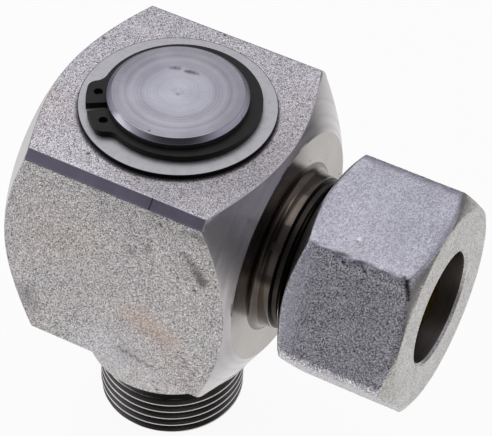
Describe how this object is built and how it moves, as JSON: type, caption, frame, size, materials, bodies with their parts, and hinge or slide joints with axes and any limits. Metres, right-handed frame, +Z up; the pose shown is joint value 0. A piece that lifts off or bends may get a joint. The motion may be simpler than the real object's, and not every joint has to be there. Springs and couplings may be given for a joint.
{
  "type": "swivel elbow fitting",
  "caption": "Hydraulic swivel elbow: a square steel housing turns on a hollow port stud and takes a tube at a right angle, held by a cutting ring and a hexagon union nut.",
  "frame": {"origin": "centre of the stem's sealing face, where the fitting sits on the port, on the swivel axis", "axes": "+Z up the swivel axis, away from the port; +X along the tube, out of the union nut; -Y is the front face in the picture"},
  "size_m": [0.091, 0.055, 0.0923],
  "materials": {
    "housing_steel": "grit blasted bar steel, turned at both ends",
    "stem_steel": "turned steel with a bright thread crest",
    "ring_spring_steel": "black phosphated spring steel",
    "washer_steel": "ground steel",
    "nut_steel": "cold formed steel, blasted",
    "cutting_ring_steel": "zinc plated, yellow passivated steel",
    "seal_rubber": "nitrile rubber",
    "backup_ptfe": "natural PTFE"
  },
  "bodies": {
    "stem": {"swivel_stem": "stem_steel", "retaining_ring": "ring_spring_steel", "upper_support_washer": "washer_steel", "lower_thrust_washer": "washer_steel", "upper_seal_ring": "seal_rubber", "lower_seal_ring": "seal_rubber", "upper_seal_backup_top": "backup_ptfe", "upper_seal_backup_bottom": "backup_ptfe", "lower_seal_backup_top": "backup_ptfe", "lower_seal_backup_bottom": "backup_ptfe", "upper_dust_ring": "seal_rubber", "lower_dust_ring": "seal_rubber", "stud_seal": "seal_rubber"},
    "housing": {"housing": "housing_steel"},
    "ring": {"cutting_ring": "cutting_ring_steel"},
    "nut": {"union_nut": "nut_steel"}
  },
  "joints": [
    {"name": "swivel", "type": "hinge", "parent": "stem", "child": "housing", "pos_m": [0, 0, 0.042], "axis": [0, 0, 1], "continuous": true},
    {"name": "ring_slide", "type": "slide", "parent": "housing", "child": "ring", "axis": [1, 0, 0], "range_m": [0, 0.012]},
    {"name": "nut_screw", "type": "hinge", "parent": "ring", "child": "nut", "pos_m": [0.05, 0, 0.042], "axis": [1, 0, 0], "range_deg": [0, 2160]}
  ],
  "couplings": [
    {"joint": "ring_slide", "follows": "nut_screw", "m_per_rad": 0.0003183}
  ]
}
